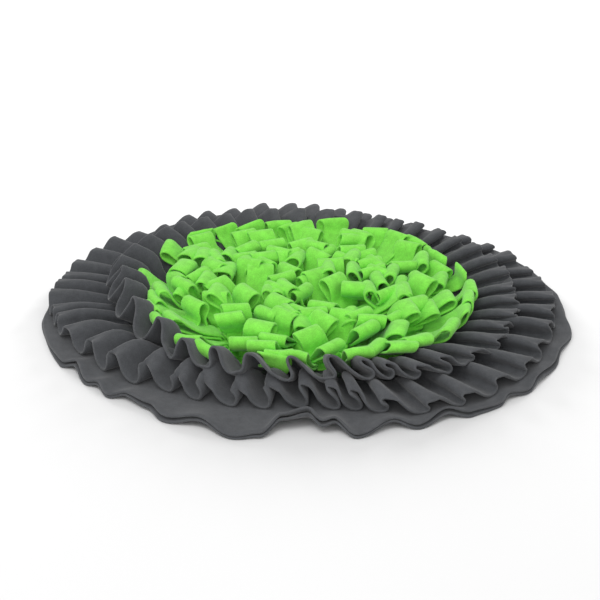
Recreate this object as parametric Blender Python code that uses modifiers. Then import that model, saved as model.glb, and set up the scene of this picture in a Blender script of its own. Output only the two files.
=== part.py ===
"""A round snuffle mat of fleece, lying flat on its own base.

Two round cloths with a wavy rim carry two gathered frills, one above the other, and in the middle a dense
pile of folded fleece strips that stand up as open loops. Metres, +Z up. The origin is at the middle of the
underside. An azimuth runs anticlockwise seen from above, from +X, so the mat's front is at 270 degrees.
"""

import math

import bmesh
import bpy
import numpy as np

# The cloth, and the room left between two pieces that touch.
CLOTH = 0.0024
TOUCH = 0.0003

# The two round cloths. Their rims are gathered a little, so they rise and fall and run in and out.
RIM_SEGMENTS = 108
RIM_AZIMUTHS = np.arange(RIM_SEGMENTS) * 2 * math.pi / RIM_SEGMENTS
RIM_RADIUS = {"base_cloth": 0.2560, "top_cloth": 0.2546}
FLAT_RADIUS = 0.213
# Where the cloth has its rings from there to the rim, and how late it starts to rise there.
RIM_RINGS = (0.0, 0.45, 1.0)
RIM_LIFT_POWER = 1.8
# The lobes and arches of the rim along the front, and how many more there are behind, of about this size.
FRONT_RIM = (
    # azimuth, reach, lift
    (187, 0.008, 0.000),
    (196, 0.006, 0.001),
    (207.5, 0.006, 0.000),
    (210.5, -0.003, 0.004),
    (217.5, 0.002, 0.000),
    (220.5, -0.003, 0.003),
    (225, 0.001, 0.000),
    (228.5, -0.008, 0.004),
    (235, -0.006, 0.002),
    (241, 0.004, 0.000),
    (248, -0.003, 0.005),
    (256, 0.009, 0.000),
    (261, 0.003, 0.001),
    (265, -0.016, 0.009),
    (270.5, -0.021, 0.012),
    (273.5, -0.010, 0.006),
    (276, -0.012, 0.008),
    (280, 0.004, 0.000),
    (288, -0.007, 0.006),
    (293, 0.004, 0.000),
    (300, -0.002, 0.004),
    (304.5, 0.008, 0.000),
    (311.5, 0.010, 0.000),
    (315, 0.006, 0.003),
    (320, 0.013, 0.000),
    (325, 0.010, 0.003),
    (332, 0.011, 0.000),
    (339, 0.007, 0.002),
    (347, 0.011, 0.000),
)
RIM_TURNS_BEHIND = 23
RIM_REACH = 0.0035
RIM_LIFT = 0.0035
# Behind, the mat is a little less than round.
BACK_REACH = (
    # azimuth, reach
    (0, 0.004),
    (20, -0.003),
    (38, -0.012),
    (52, -0.021),
    (70, -0.021),
    (82, -0.016),
    (94, -0.002),
    (120, 0.000),
    (140, -0.004),
    (160, 0.001),
    (180, 0.006),
)
RIM_SEED = 5
# The upper cloth's rim stands off the lower one's by up to this much, in waves of its own.
RIM_PARTING = 0.0022
PARTING_WAVES = 12

# The frills: gathered strips, sewn down along their inner edge. A fold has its columns at these phases.
FOLD_PHASES = (0.0, 0.14, 0.36, 0.5, 0.64, 0.86)
# The gathers are slight at the seam. A fold's crest rises from there to its full height at this share of the
# strip's width, and droops from there to the edge. A fold is nowhere flatter than this at the edge.
SEAM_SWING = math.radians(30)
MOST_SWING = math.radians(118)
CREST_SHARE = 0.70
LEAST_FOLD = 0.010
# The feet of the folds rise slowly near the seam and faster farther out.
FEET_RISE_POWER = 1.3
# A fold slopes, so at a share of the strip's width it is only this much of that share farther out.
REACH_SHARE = 0.9
# Steps along one fold to find its outline, and how much wider the folds' feet are than their crests.
MEANDER_STEPS = 33
FOOT_WIDENING = 0.35
# The narrowest run outwards of a strip between two of its rows, as a share of the cloth there.
LEAST_RUN = 0.30
FRILLS = {
    "outer_frill": {
        "rows": 4,
        "seed": 4,
        # Where the front's folds stand on the cloth below, in degrees, and how many folds there are behind.
        "front_feet": (
            195, 206, 216, 226, 235, 243, 252, 260, 269,
            277, 282, 287, 295, 303, 312, 322, 331,
        ),
        "folds_behind": 30,
        # How wide they are, from the right round to the left, compared with each other.
        "widths_behind": (1.25, 0.85),
        # Round the mat: the seam's radius, the strip's width, the rise of the folds' feet at the edge, and above
        # them the height of the crests and of the edge, and how far the folds lean.
        "sectors": (
            # azimuth, seam, width, rise, crest, edge, lean
            (0, 0.181, 0.068, 0.000, 0.014, 0.009, 0.80),
            (18, 0.178, 0.067, 0.000, 0.012, 0.009, 0.80),
            (30, 0.173, 0.064, 0.000, 0.011, 0.009, 0.80),
            (40, 0.169, 0.062, 0.000, 0.011, 0.009, 0.80),
            (50, 0.166, 0.059, 0.000, 0.010, 0.009, 0.80),
            (70, 0.166, 0.057, 0.000, 0.009, 0.008, 0.90),
            (82, 0.168, 0.058, 0.000, 0.011, 0.011, 1.00),
            (94, 0.170, 0.061, 0.000, 0.017, 0.017, 1.00),
            (120, 0.172, 0.062, 0.000, 0.017, 0.017, 1.00),
            (138, 0.173, 0.064, 0.000, 0.014, 0.014, 0.90),
            (152, 0.180, 0.068, 0.000, 0.012, 0.011, 0.70),
            (165, 0.186, 0.070, 0.000, 0.011, 0.009, 0.50),
            (182, 0.187, 0.071, 0.000, 0.013, 0.010, 0.40),
            (195, 0.180, 0.067, 0.000, 0.017, 0.012, 0.35),
            (208, 0.174, 0.063, 0.000, 0.020, 0.014, 0.35),
            (220, 0.171, 0.062, 0.000, 0.022, 0.016, 0.45),
            (235, 0.163, 0.056, 0.000, 0.023, 0.014, 0.60),
            (248, 0.162, 0.056, 0.000, 0.022, 0.011, 0.65),
            (262, 0.161, 0.054, 0.000, 0.021, 0.012, 0.65),
            (272, 0.158, 0.050, 0.000, 0.022, 0.018, 0.65),
            (282, 0.163, 0.054, 0.000, 0.024, 0.020, 0.50),
            (288, 0.172, 0.061, 0.000, 0.020, 0.013, 0.60),
            (296, 0.181, 0.066, 0.000, 0.015, 0.010, 0.80),
            (310, 0.186, 0.067, 0.000, 0.016, 0.011, 0.80),
            (325, 0.187, 0.067, 0.000, 0.017, 0.012, 0.80),
            (345, 0.182, 0.066, 0.000, 0.018, 0.014, 0.80),
        ),
    },
    "inner_frill": {
        "rows": 3,
        "seed": 9,
        "front_feet": (186, 198, 215, 230, 242, 251, 265, 276, 287, 292, 298, 307, 314, 325),
        "folds_behind": 26,
        "widths_behind": (1.0, 1.0),
        "sectors": (
            # azimuth, seam, width, rise, crest, edge, lean
            (0, 0.1505, 0.061, 0.013, 0.012, 0.007, 0.70),
            (30, 0.1505, 0.060, 0.013, 0.013, 0.009, 0.70),
            (55, 0.1505, 0.055, 0.011, 0.013, 0.011, 0.80),
            (95, 0.1505, 0.052, 0.012, 0.012, 0.011, 0.80),
            (120, 0.1505, 0.054, 0.014, 0.015, 0.014, 0.70),
            (145, 0.1505, 0.056, 0.015, 0.018, 0.017, 0.60),
            (170, 0.1505, 0.056, 0.017, 0.023, 0.022, 0.40),
            (188, 0.1505, 0.050, 0.017, 0.026, 0.026, 0.30),
            (200, 0.1505, 0.045, 0.017, 0.026, 0.027, 0.30),
            (220, 0.1505, 0.045, 0.018, 0.024, 0.024, 0.40),
            (233, 0.1505, 0.051, 0.020, 0.020, 0.019, 0.60),
            (250, 0.1505, 0.053, 0.021, 0.018, 0.017, 0.80),
            (280, 0.1505, 0.053, 0.021, 0.018, 0.017, 0.80),
            (292, 0.1505, 0.056, 0.019, 0.018, 0.015, 0.70),
            (305, 0.1505, 0.066, 0.015, 0.017, 0.013, 0.80),
            (325, 0.1505, 0.068, 0.013, 0.015, 0.010, 0.80),
            (340, 0.1505, 0.064, 0.013, 0.013, 0.007, 0.75),
        ),
    },
}
# How far a frill's edge stays off the waves of the cloth below it.
ROOM_AT_EDGE = 0.0008
# How unlike its neighbours one fold may be.
FOLD_WIDTH_SPREAD = 0.22
FOLD_HEIGHT_SPREAD = 0.0020
FOLD_LEAN_SPREAD = 0.15
FOLD_REACH_SPREAD = 0.0025
# The feet of the upper frill's edge clear the lower frill's crests this far outside them, by this much.
FOOT_AHEAD = 0.0170
FRILL_PARTING = 0.0080

# The pile of loops, on a round backing.
LOOPS = 140
BACKING_RADIUS = 0.1410
PILE_RADIUS = 0.1370
STRIP_WIDTH = 0.0250
# A loop's height in the middle, what the rim adds in front, and how much less that is behind.
LOOP_HEIGHT = 0.0350
RIM_LOOP_HEIGHT = 0.0090
LESS_BEHIND = 0.0130
LOOP_HEIGHT_SPREAD = 0.0030
LOOP_HALF_FOOT = 0.0018
LOOP_HALF_BELLY = 0.0052
OUTWARD_LEAN = 0.44
BACKING_SEGMENTS = 60
# A loop keeps its place among the others as three discs along its width. In each step of the packing it moves
# and turns by these shares of what its neighbours push.
DISC_STEP = 0.0083
DISC_RADIUS = 0.0066
PACKING_STEPS = 600
# How strictly the loops at the pile's rim stand along it, from 0 to 1.
RIM_ORDER = 0.75
MOVE_SHARE = 0.25
TURN_SHARE = 0.15
# Half of a loop seen from its open side, as shares of the half belly and of the height. It is flat on top.
LOOP_SIDE = (
    # out, up
    (1.00, 0.58),
    (0.62, 1.00),
)

# Seeds for what differs from loop to loop.
PACKING_SEED = 12
HEIGHT_SEED = 3

CHARCOAL = (0.061, 0.064, 0.069, 1.0)
LIME = (0.235, 0.630, 0.088, 1.0)


def clear_scene():
    for obj in list(bpy.data.objects):
        bpy.data.objects.remove(obj)


def fleece(name, colour):
    """A matt cloth material of one colour."""
    material = bpy.data.materials.new(name)
    material.use_nodes = True
    shader = material.node_tree.nodes["Principled BSDF"]
    shader.inputs["Base Color"].default_value = colour
    shader.inputs["Roughness"].default_value = 0.95
    shader.inputs["Metallic"].default_value = 0.0
    shader.inputs["Sheen Weight"].default_value = 0.3
    return material


def add_object(name, mesh, collection, parent=None):
    obj = bpy.data.objects.new(name, mesh)
    collection.objects.link(obj)
    obj.parent = parent
    return obj


def thicken(obj):
    solidify = obj.modifiers.new("cloth", "SOLIDIFY")
    solidify.thickness = CLOTH
    solidify.offset = 0.0
    return obj


def shade_smooth(mesh, degrees=60):
    mesh.shade_smooth()
    mesh.set_sharp_from_angle(angle=math.radians(degrees))


def ring_mesh(name, points, fill_middle=False):
    """A grid closed into a ring. points[column, row] says where its points lie, the first row innermost."""
    columns, rows = points.shape[:2]
    bm = bmesh.new()
    bmesh.ops.create_grid(bm, x_segments=columns, y_segments=rows - 1, size=1.0)
    for vertex in bm.verts:
        column = round((vertex.co.x + 1) / 2 * columns) % columns
        row = round((vertex.co.y + 1) / 2 * (rows - 1))
        vertex.co = points[column, row]
    bmesh.ops.remove_doubles(bm, verts=bm.verts, dist=1e-6)
    if fill_middle:
        between_rows = np.linalg.norm(points[:, :2, :2], axis=2).mean()
        inner = [e for e in bm.edges if e.is_boundary and e.verts[0].co.xy.length < between_rows]
        bmesh.ops.edgeloop_fill(bm, edges=inner)
    bmesh.ops.recalc_face_normals(bm, faces=bm.faces)
    mesh = bpy.data.meshes.new(name)
    bm.to_mesh(mesh)
    bm.free()
    shade_smooth(mesh)
    return mesh


def face_up(mesh):
    """Turns an open, mostly level mesh so that its faces point up."""
    if sum(p.normal.z * p.area for p in mesh.polygons) < 0:
        mesh.flip_normals()


def rim_turns():
    """Rows of (azimuth, reach, lift) all the way round, in degrees and metres, in order of azimuth."""
    rng = np.random.default_rng(RIM_SEED)
    front = np.array(FRONT_RIM)
    gap = 360 - (front[-1, 0] - front[0, 0])
    index = np.arange(1, RIM_TURNS_BEHIND + 1)
    azimuth = front[-1, 0] + (index + rng.uniform(-0.25, 0.25, len(index))) * gap / (RIM_TURNS_BEHIND + 1)
    size = rng.uniform(0.3, 1.0, len(index))
    arch = index % 2 == 1
    reach = np.interp(azimuth % 360, *np.array(BACK_REACH).T) + np.where(arch, -RIM_REACH, RIM_REACH) * size
    lift = np.where(arch, RIM_LIFT, 0) * size
    rows = np.concatenate([front, np.stack([azimuth, reach, lift], axis=1)])
    rows[:, 0] %= 360
    return rows[np.argsort(rows[:, 0])]


def rim_shape():
    """(reach past the plain rim, lift of the rim) of the lower cloth, at each of the rim's points."""
    rows = rim_turns()
    rows = np.concatenate([rows[-1:] - [360, 0, 0], rows, rows[:1] + [360, 0, 0]])
    degrees = np.degrees(RIM_AZIMUTHS)
    before = np.searchsorted(rows[:, 0], degrees, side="right") - 1
    share = (degrees - rows[before, 0]) / (rows[before + 1, 0] - rows[before, 0])
    ease = (1 - np.cos(math.pi * share)) / 2
    reach, lift = ((1 - ease) * rows[before, i] + ease * rows[before + 1, i] for i in (1, 2))
    return reach, lift


def rim_line(name):
    """(radius, lift) of a round cloth's rim, at each of its points."""
    reach, lift = rim_shape()
    if name == "top_cloth":
        parting = np.cos(PARTING_WAVES * RIM_AZIMUTHS)
        reach = reach - RIM_PARTING * parting / 2
        lift = lift + RIM_PARTING * (1 + parting) / 2
    return RIM_RADIUS[name] + reach, lift


def rim_height(radius, azimuth):
    """How far the upper cloth is lifted there."""
    rim, lift = (np.interp(azimuth, RIM_AZIMUTHS, line, period=2 * math.pi) for line in rim_line("top_cloth"))
    share = np.clip((radius - FLAT_RADIUS) / (rim - FLAT_RADIUS), 0, 1)
    return lift * np.interp(share, RIM_RINGS, np.array(RIM_RINGS) ** RIM_LIFT_POWER)


def round_cloth(name, height, collection, parent, material):
    """One of the two round cloths, flat nearly as far as the frills reach."""
    rim, lift = rim_line(name)
    shares = np.array(RIM_RINGS)
    radius = FLAT_RADIUS + np.outer(rim - FLAT_RADIUS, shares)
    rise = np.outer(lift, shares**RIM_LIFT_POWER)
    points = np.stack(
        [radius * np.cos(RIM_AZIMUTHS)[:, None], radius * np.sin(RIM_AZIMUTHS)[:, None], rise], axis=-1
    )
    mesh = ring_mesh(name, points, fill_middle=True)
    face_up(mesh)
    mesh.materials.append(material)
    obj = thicken(add_object(name, mesh, collection, parent))
    obj.location.z = height
    return obj


def meander(phase, swing):
    """Where a folded edge has got to at a phase of 0 to 1 round one fold, as shares of the cloth in that fold.

    The edge's direction swings by swing radians to either side, so past a right angle it doubles back.
    """
    steps = np.linspace(0, 1, MEANDER_STEPS) * phase[..., None]
    turn = 2 * math.pi * steps
    angle = swing[..., None] * np.sin(turn - FOOT_WIDENING * np.sin(turn))
    ahead = np.trapz(np.cos(angle), steps, axis=-1)
    up = np.trapz(np.sin(angle), steps, axis=-1)
    return ahead, up


def swing_for(steepness):
    """How far a fold's direction must swing for its height to be this much of its pitch."""
    swings = np.linspace(math.radians(5), MOST_SWING, 60)
    _, top = meander(np.full_like(swings, 0.5), swings)
    whole, _ = meander(np.ones_like(swings), swings)
    return np.interp(steepness, top / whole, swings)


def fold_feet(frill, rng):
    """(where each fold starts, how wide it is) in radians."""
    front = np.radians(frill["front_feet"])
    behind = np.linspace(*frill["widths_behind"], frill["folds_behind"])
    behind += rng.uniform(-FOLD_WIDTH_SPREAD, FOLD_WIDTH_SPREAD, len(behind))
    behind *= (2 * math.pi - front[-1] + front[0]) / behind.sum()
    feet = np.concatenate([front, front[-1] + np.cumsum(behind)])
    return feet[:-1], np.diff(feet)


def sector_values(frill, azimuth):
    """The frill's seam, width, rise, crest, edge and lean at azimuths in radians."""
    sectors = np.array(frill["sectors"])
    degrees = np.degrees(azimuth) % 360
    return [np.interp(degrees, sectors[:, 0], sectors[:, i], period=360) for i in range(1, 7)]


def crest_height(frill, radius, azimuth):
    """How high the frill's crests stand there, above the cloth that it is sewn to."""
    seam, width, _, crest, _, _ = sector_values(frill, azimuth)
    share = np.clip((radius - seam) / (REACH_SHARE * width), 0, CREST_SHARE)
    return (crest + FOLD_HEIGHT_SPREAD) * np.sin(math.pi / 2 * share / CREST_SHARE)


def frill_points(frill, below=None):
    """points[column, row] of a frill's middle surface, from its seam out to its free edge.

    Its folds stand on the cloth, or on the crests of the frill below.
    """
    rng = np.random.default_rng(frill["seed"])
    starts, widths = fold_feet(frill, rng)
    folds = len(starts)
    fold = np.repeat(np.arange(folds), len(FOLD_PHASES))
    phase = np.tile(np.array(FOLD_PHASES), folds)
    pitch = widths[fold]
    azimuth = starts[fold] + pitch * phase

    seam, width, rise, _, _, _ = sector_values(frill, azimuth)
    _, _, _, crest, edge, lean = sector_values(frill, starts + widths / 2)
    higher = rng.uniform(-FOLD_HEIGHT_SPREAD, FOLD_HEIGHT_SPREAD, folds)
    crest = (crest + higher)[fold]
    edge = (edge + higher)[fold]
    lean = (lean + rng.uniform(-FOLD_LEAN_SPREAD, FOLD_LEAN_SPREAD, folds))[fold]
    farther = rng.uniform(-FOLD_REACH_SPREAD, FOLD_REACH_SPREAD, folds)
    width = width + np.interp(fold + phase, np.arange(folds) + 0.5, farther, period=folds)

    rows = frill["rows"]
    points = np.zeros((len(phase), rows, 3))
    radius = seam.copy()
    for row in range(rows):
        share = row / (rows - 1)
        level_radius = seam + REACH_SHARE * width * share
        feet = rise * share**FEET_RISE_POWER
        grown = crest * math.sin(math.pi / 2 * min(share / CREST_SHARE, 1))
        droop = max(share / CREST_SHARE - 1, 0) / (1 / CREST_SHARE - 1)
        top = feet + grown * (1 + (edge / crest - 1) * droop)
        if below:
            feet = crest_height(below, level_radius + FOOT_AHEAD * share, azimuth) + FRILL_PARTING * share
        # The folds keep their tops where their feet are lifted.
        squash = np.maximum(top - feet, LEAST_FOLD * share) / np.maximum(grown, 1e-6)
        swing = np.maximum(swing_for(grown / (level_radius * pitch)), SEAM_SWING)
        ahead, up = meander(phase, swing)
        whole, _ = meander(np.ones_like(phase), swing)
        cloth_in_fold = level_radius * pitch / whole
        height = cloth_in_fold * up * (squash if row else 1)
        turn = starts[fold] + cloth_in_fold * ahead / level_radius
        turn = turn - lean * height / level_radius
        level = feet + height
        if row:
            cloth = width / (rows - 1)
            climb = level - last_level
            slide = (turn - last_turn) * level_radius
            run_out = np.sqrt(np.maximum(cloth**2 - climb**2 - slide**2, (LEAST_RUN * cloth) ** 2))
            radius = radius + run_out
        last_level, last_turn = level, turn
        lifted = rim_height(radius, turn) + ROOM_AT_EDGE * share
        points[:, row] = np.stack([radius * np.cos(turn), radius * np.sin(turn), lifted + level], axis=-1)
    return points


def frill(name, points, height, collection, parent, material):
    mesh = ring_mesh(name, points)
    face_up(mesh)
    mesh.materials.append(material)
    obj = thicken(add_object(name, mesh, collection, parent))
    obj.location.z = height
    return obj


def pack_loops():
    """Where each loop is rooted and which way its strip lies: (x, y) and an angle, spread until none touch.

    They start on a sunflower spiral, at random angles, and push each other apart.
    """
    rng = np.random.default_rng(PACKING_SEED)
    index = np.arange(LOOPS)
    radius = PILE_RADIUS * np.sqrt((index + 0.5) / LOOPS)
    turn = index * math.pi * (3 - math.sqrt(5))
    centre = np.stack([radius * np.cos(turn), radius * np.sin(turn)], axis=1)
    askew = rng.uniform(-math.pi / 2, math.pi / 2, LOOPS)
    angle = turn + math.pi / 2 + askew * (1 - RIM_ORDER * (radius / PILE_RADIUS) ** 2)
    along = DISC_STEP * np.array([-1.0, 0.0, 1.0])
    owner = np.repeat(index, 3)
    other_loop = owner[:, None] != owner[None, :]
    for _ in range(PACKING_STEPS):
        axis = np.stack([np.cos(angle), np.sin(angle)], axis=1)
        arm = (along[None, :, None] * axis[:, None, :]).reshape(-1, 2)
        disc = centre[owner] + arm
        apart = disc[:, None] - disc[None, :]
        distance = np.linalg.norm(apart, axis=2) + 1e-9
        overlap = np.where(other_loop, np.maximum(2 * DISC_RADIUS - distance, 0), 0)
        push = (apart / distance[..., None] * overlap[..., None]).sum(axis=1)
        reach = np.linalg.norm(disc, axis=1)
        outside = np.maximum(reach - PILE_RADIUS, 0)
        push -= disc / reach[:, None] * outside[:, None]
        spin = arm[:, 0] * push[:, 1] - arm[:, 1] * push[:, 0]
        centre += MOVE_SHARE * np.add.reduceat(push, np.arange(0, 3 * LOOPS, 3))
        angle += TURN_SHARE * np.add.reduceat(spin, np.arange(0, 3 * LOOPS, 3)) / DISC_STEP**2
    return centre, angle


def loop_side(height):
    """(out, up) along one loop, from foot to foot."""
    half = [(-LOOP_HALF_FOOT, 0.0)] + [(-LOOP_HALF_BELLY * out, height * up) for out, up in LOOP_SIDE]
    return half + [(-out, up) for out, up in reversed(half)]


def loops_mesh(name):
    """Every loop as a bent strip one cloth thin, its feet at z = 0."""
    rng = np.random.default_rng(HEIGHT_SEED)
    spreads = rng.uniform(-LOOP_HEIGHT_SPREAD, LOOP_HEIGHT_SPREAD, LOOPS)
    bm = bmesh.new()
    for centre, angle, spread in zip(*pack_loops(), spreads):
        share = centre / PILE_RADIUS
        rim = share @ share
        height = LOOP_HEIGHT + (RIM_LOOP_HEIGHT - LESS_BEHIND * max(share[1], 0)) * rim + spread
        side = loop_side(height)
        strip = bmesh.ops.create_grid(bm, x_segments=1, y_segments=len(side) - 1, size=1.0)
        lean = OUTWARD_LEAN * share * math.sqrt(rim)
        # A loop that leans is as long as one that stands, so it reaches less high.
        flatten = 1 / math.hypot(1, np.linalg.norm(lean))
        axis = np.array([math.cos(angle), math.sin(angle)])
        across = np.array([-axis[1], axis[0]])
        for vertex in strip["verts"]:
            out, up = side[round((vertex.co.y + 1) / 2 * (len(side) - 1))]
            place = centre + axis * vertex.co.x * STRIP_WIDTH / 2 + across * out + lean * up * flatten
            vertex.co = (place[0], place[1], up * flatten)
    mesh = bpy.data.meshes.new(name)
    bm.to_mesh(mesh)
    bm.free()
    return mesh


def loop_pile(name, height, collection, cutters, parent, material):
    """The round backing with every loop's feet fused into it."""
    strips = thicken(add_object("loop_strips", loops_mesh("loop_strips"), cutters, parent))
    strips.location.z = height
    strips.hide_render = True
    strips.display_type = "WIRE"

    bm = bmesh.new()
    round_ends = {"radius1": BACKING_RADIUS, "radius2": BACKING_RADIUS}
    bmesh.ops.create_cone(bm, cap_ends=True, segments=BACKING_SEGMENTS, depth=CLOTH, **round_ends)
    mesh = bpy.data.meshes.new(name)
    bm.to_mesh(mesh)
    bm.free()
    mesh.materials.append(material)
    backing = add_object(name, mesh, collection, parent)
    backing.location.z = height
    union = backing.modifiers.new("loops", "BOOLEAN")
    union.operation = "UNION"
    union.object = strips
    return backing


def main():
    clear_scene()
    scene_collection = bpy.context.scene.collection
    collection = bpy.data.collections.new("snuffle_mat")
    cutters = bpy.data.collections.new("helpers")
    scene_collection.children.link(collection)
    scene_collection.children.link(cutters)
    mat = add_object("mat_origin", None, collection)

    charcoal = fleece("charcoal_fleece", CHARCOAL)
    lime = fleece("lime_fleece", LIME)

    layer = CLOTH + TOUCH
    base_height = CLOTH / 2
    round_cloth("base_cloth", base_height, collection, mat, charcoal)
    round_cloth("top_cloth", base_height + layer, collection, mat, charcoal)
    sewn_height = base_height + 2 * layer
    outer, inner = FRILLS["outer_frill"], FRILLS["inner_frill"]
    frill("outer_frill", frill_points(outer), sewn_height, collection, mat, charcoal)
    frill("inner_frill", frill_points(inner, below=outer), sewn_height, collection, mat, charcoal)
    loop_pile("loop_pile", sewn_height, collection, cutters, mat, lime)


main()
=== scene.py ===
"""The looks of a round snuffle mat of fleece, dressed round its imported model.

Every cloth is a grid of points with the thickness of fleece round it. The frills and the strips of the pile
are settled as cloth: a relaxation keeps their lengths, keeps them from bending sharply and keeps layers from
passing through each other. Metres, +Z up. An azimuth runs anticlockwise seen from above, from +X, so the
mat's front is at 270 degrees.
"""

import math

import bpy
import numpy as np
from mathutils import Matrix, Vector


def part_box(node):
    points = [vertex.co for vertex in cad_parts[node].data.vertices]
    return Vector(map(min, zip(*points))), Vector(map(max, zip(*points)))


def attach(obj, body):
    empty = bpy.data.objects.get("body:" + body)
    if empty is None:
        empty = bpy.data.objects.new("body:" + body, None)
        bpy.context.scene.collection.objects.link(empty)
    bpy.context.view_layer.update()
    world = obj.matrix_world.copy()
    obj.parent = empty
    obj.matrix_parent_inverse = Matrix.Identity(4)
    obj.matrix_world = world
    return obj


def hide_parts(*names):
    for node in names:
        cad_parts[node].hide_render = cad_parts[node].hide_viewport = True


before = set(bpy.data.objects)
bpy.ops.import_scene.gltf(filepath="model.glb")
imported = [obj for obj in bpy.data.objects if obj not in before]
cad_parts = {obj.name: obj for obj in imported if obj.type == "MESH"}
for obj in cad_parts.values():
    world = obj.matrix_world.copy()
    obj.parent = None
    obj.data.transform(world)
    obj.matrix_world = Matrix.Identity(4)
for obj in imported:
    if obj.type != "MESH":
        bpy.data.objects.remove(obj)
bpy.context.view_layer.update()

# The cloth, and the height of the middle of the cloths that are sewn onto the upper round cloth.
CLOTH = 0.0024
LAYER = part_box("top_cloth")[0].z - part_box("base_cloth")[0].z
SEWN_HEIGHT = CLOTH / 2 + 2 * LAYER
# How strongly the cloth straightens in each step of its settling, by how much of its correction a point moves
# in a step, and after how many steps the neighbours are looked up again.
STIFFNESS = 0.04
OVERSHOOT = 1.4
STEPS_PER_LOOKUP = 8
# How near a point of another strip has to be to be looked up, as a multiple of the distance of contact.
LOOKUP_REACH = 1.5
# The springs of a cloth: between points that lie so many columns and rows apart, and how much each counts.
SPRINGS = (
    # columns, rows, weight
    (1, 0, 1.0),
    (0, 1, 1.0),
    (1, 1, 0.4),
    (1, -1, 0.4),
    (0, 2, 0.5),
    (0, 4, 0.4),
)
# The props that keep a strip from bending sharply along its length.
PROPS = (
    # columns, weight
    (2, 0.3),
    (4, 0.5),
)
# Points of one strip no farther apart than this, in columns and in rows, never count as touching.
OWN_NEIGHBOURS = 2
# What lies above its limit is pressed down until this share of the steps.
PRESSED_AT = 0.7
# Strips stay this far apart, measured between the middles of their cloths.
CONTACT = 0.0031
# A strip doesn't bend more sharply than this radius.
FRILL_BEND_RADIUS = 0.0048
LOOP_BEND_RADIUS = 0.0052

# The two round cloths. Their rims are gathered a little, so they rise and fall and run in and out.
RIM_RADIUS = {"base_cloth": 0.2560, "top_cloth": 0.2546}
# They lie flat inside this radius. The power says how late they rise on their way from there to the rim.
FLAT_RADIUS = 0.213
RIM_LIFT_POWER = 1.8
# How the cloths are divided: round the mat, and in rings on the flat disc and from there to the rim.
RIM_SEGMENTS = 720
RIM_RINGS = 9
FLAT_RINGS = (0.0005, 0.110, 0.180, 0.206)
# The lobes and arches of the rim along the front.
FRONT_RIM = (
    # azimuth, reach, lift
    (187, 0.008, 0.000),
    (196, 0.006, 0.001),
    (207.5, 0.006, 0.000),
    (210.5, -0.003, 0.004),
    (217.5, 0.002, 0.000),
    (220.5, -0.003, 0.003),
    (225, 0.001, 0.000),
    (228.5, -0.008, 0.004),
    (235, -0.006, 0.002),
    (241, 0.004, 0.000),
    (248, -0.003, 0.005),
    (256, 0.009, 0.000),
    (261, 0.003, 0.001),
    (265, -0.016, 0.009),
    (270.5, -0.021, 0.012),
    (273.5, -0.010, 0.006),
    (276, -0.012, 0.008),
    (280, 0.004, 0.000),
    (288, -0.007, 0.006),
    (293, 0.004, 0.000),
    (300, -0.002, 0.004),
    (304.5, 0.008, 0.000),
    (311.5, 0.010, 0.000),
    (315, 0.006, 0.003),
    (320, 0.013, 0.000),
    (325, 0.010, 0.003),
    (332, 0.011, 0.000),
    (339, 0.007, 0.002),
    (347, 0.011, 0.000),
)
# How many more there are behind, and how far these reach and rise at most.
RIM_TURNS_BEHIND = 23
RIM_REACH = 0.0035
RIM_LIFT = 0.0035
# How far one of these may be out of its place, in shares of their spacing, and the smallest one, as a share
# of the largest.
TURN_ASKEW = 0.25
LEAST_TURN = 0.3
# Behind, the mat is a little less than round.
BACK_REACH = (
    # azimuth, reach
    (0, 0.004),
    (20, -0.003),
    (38, -0.012),
    (52, -0.021),
    (70, -0.021),
    (82, -0.016),
    (94, -0.002),
    (120, 0.000),
    (140, -0.004),
    (160, 0.001),
    (180, 0.006),
)
RIM_SEED = 5
# The upper cloth's rim stands off the lower one's by up to this much, in waves of its own.
RIM_PARTING = 0.0022
PARTING_WAVES = 12

# The frills: gathered strips, sewn down along their inner edge. A strip's direction swings to each side by at
# least this much, also along the seam, and by at most this much in its steepest folds.
SEAM_SWING = math.radians(30)
MOST_SWING = math.radians(118)
# A fold's crest rises from the seam to its full height at this share of the strip's width, and droops from
# there to the edge.
CREST_SHARE = 0.70
EDGE_RISE_POWER = 1.3
# A fold slopes, so at a share of the strip's width it is only this much of that share farther out.
REACH_SHARE = 0.9
# The narrowest run outwards of a strip between two of its rows, as a share of the cloth there.
LEAST_RUN = 0.30
MEANDER_STEPS = 33
# How much wider the folds' feet are than their crests.
FOOT_WIDENING = 0.35
COLUMNS_PER_FOLD = 26
FRILL_ROWS = 17
FRILL_STEPS = 90
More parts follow.
